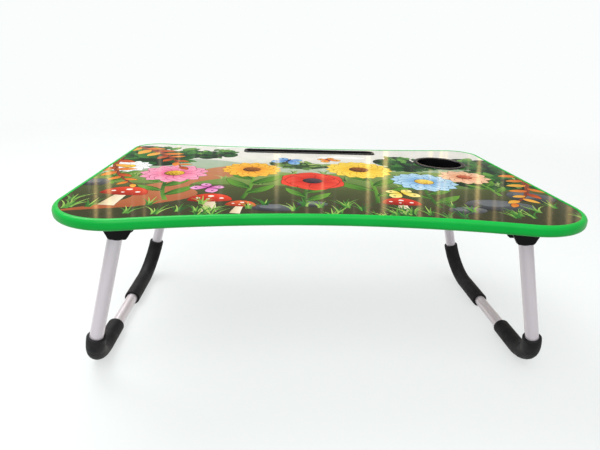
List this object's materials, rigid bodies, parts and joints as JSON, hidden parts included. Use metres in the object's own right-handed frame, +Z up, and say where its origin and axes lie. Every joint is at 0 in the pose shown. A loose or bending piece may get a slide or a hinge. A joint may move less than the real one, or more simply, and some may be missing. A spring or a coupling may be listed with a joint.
{
  "type": "folding laptop table",
  "caption": "Low folding laptop table: printed board with a curved front, soft edge band, cup holder, tablet slot and U-shaped tube legs on stop hinges.",
  "frame": {"origin": "on the floor, under the middle of the board", "axes": "+X to the user's right, along the board's length; +Y away from the user, to the rear edge with the tablet slot; +Z up"},
  "size_m": [0.6, 0.3999, 0.2249],
  "materials": {
    "printed_laminate": "glossy printed melamine",
    "fibreboard": "raw medium-density fibreboard",
    "backing_laminate": "plain matt balancing laminate",
    "green_edge_band": "satin extruded soft PVC",
    "black_plastic": "moulded black ABS",
    "silver_tube": "silver powder-coated steel tube",
    "black_rubber": "matt black rubber",
    "pin_steel": "zinc-plated steel"
  },
  "bodies": {
    "tabletop": {"board_core": "fibreboard", "printed_laminate": "printed_laminate", "backing_laminate": "backing_laminate", "edge_band": "green_edge_band", "cup_holder": "black_plastic", "tablet_slot": "black_plastic", "bracket_screws": "pin_steel", "hinge_housing_front_left": "black_plastic", "hinge_pin_front_left": "pin_steel", "hinge_housing_rear_left": "black_plastic", "hinge_pin_rear_left": "pin_steel", "hinge_housing_front_right": "black_plastic", "hinge_pin_front_right": "pin_steel", "hinge_housing_rear_right": "black_plastic", "hinge_pin_rear_right": "pin_steel"},
    "left_leg": {"leg_tube_left": "silver_tube", "leg_knuckle_front_left": "black_plastic", "foot_sleeve_front_left": "black_rubber", "leg_knuckle_rear_left": "black_plastic", "foot_sleeve_rear_left": "black_rubber"},
    "right_leg": {"leg_tube_right": "silver_tube", "leg_knuckle_front_right": "black_plastic", "foot_sleeve_front_right": "black_rubber", "leg_knuckle_rear_right": "black_plastic", "foot_sleeve_rear_right": "black_rubber"}
  },
  "joints": [
    {"name": "left_leg_fold", "type": "hinge", "parent": "tabletop", "child": "left_leg", "pos_m": [-0.2305, 0, 0.1968], "axis": [0, -1, 0], "range_deg": [0, 105.5]},
    {"name": "right_leg_fold", "type": "hinge", "parent": "tabletop", "child": "right_leg", "pos_m": [0.2305, 0, 0.1968], "axis": [0, 1, 0], "range_deg": [0, 105.5]}
  ]
}
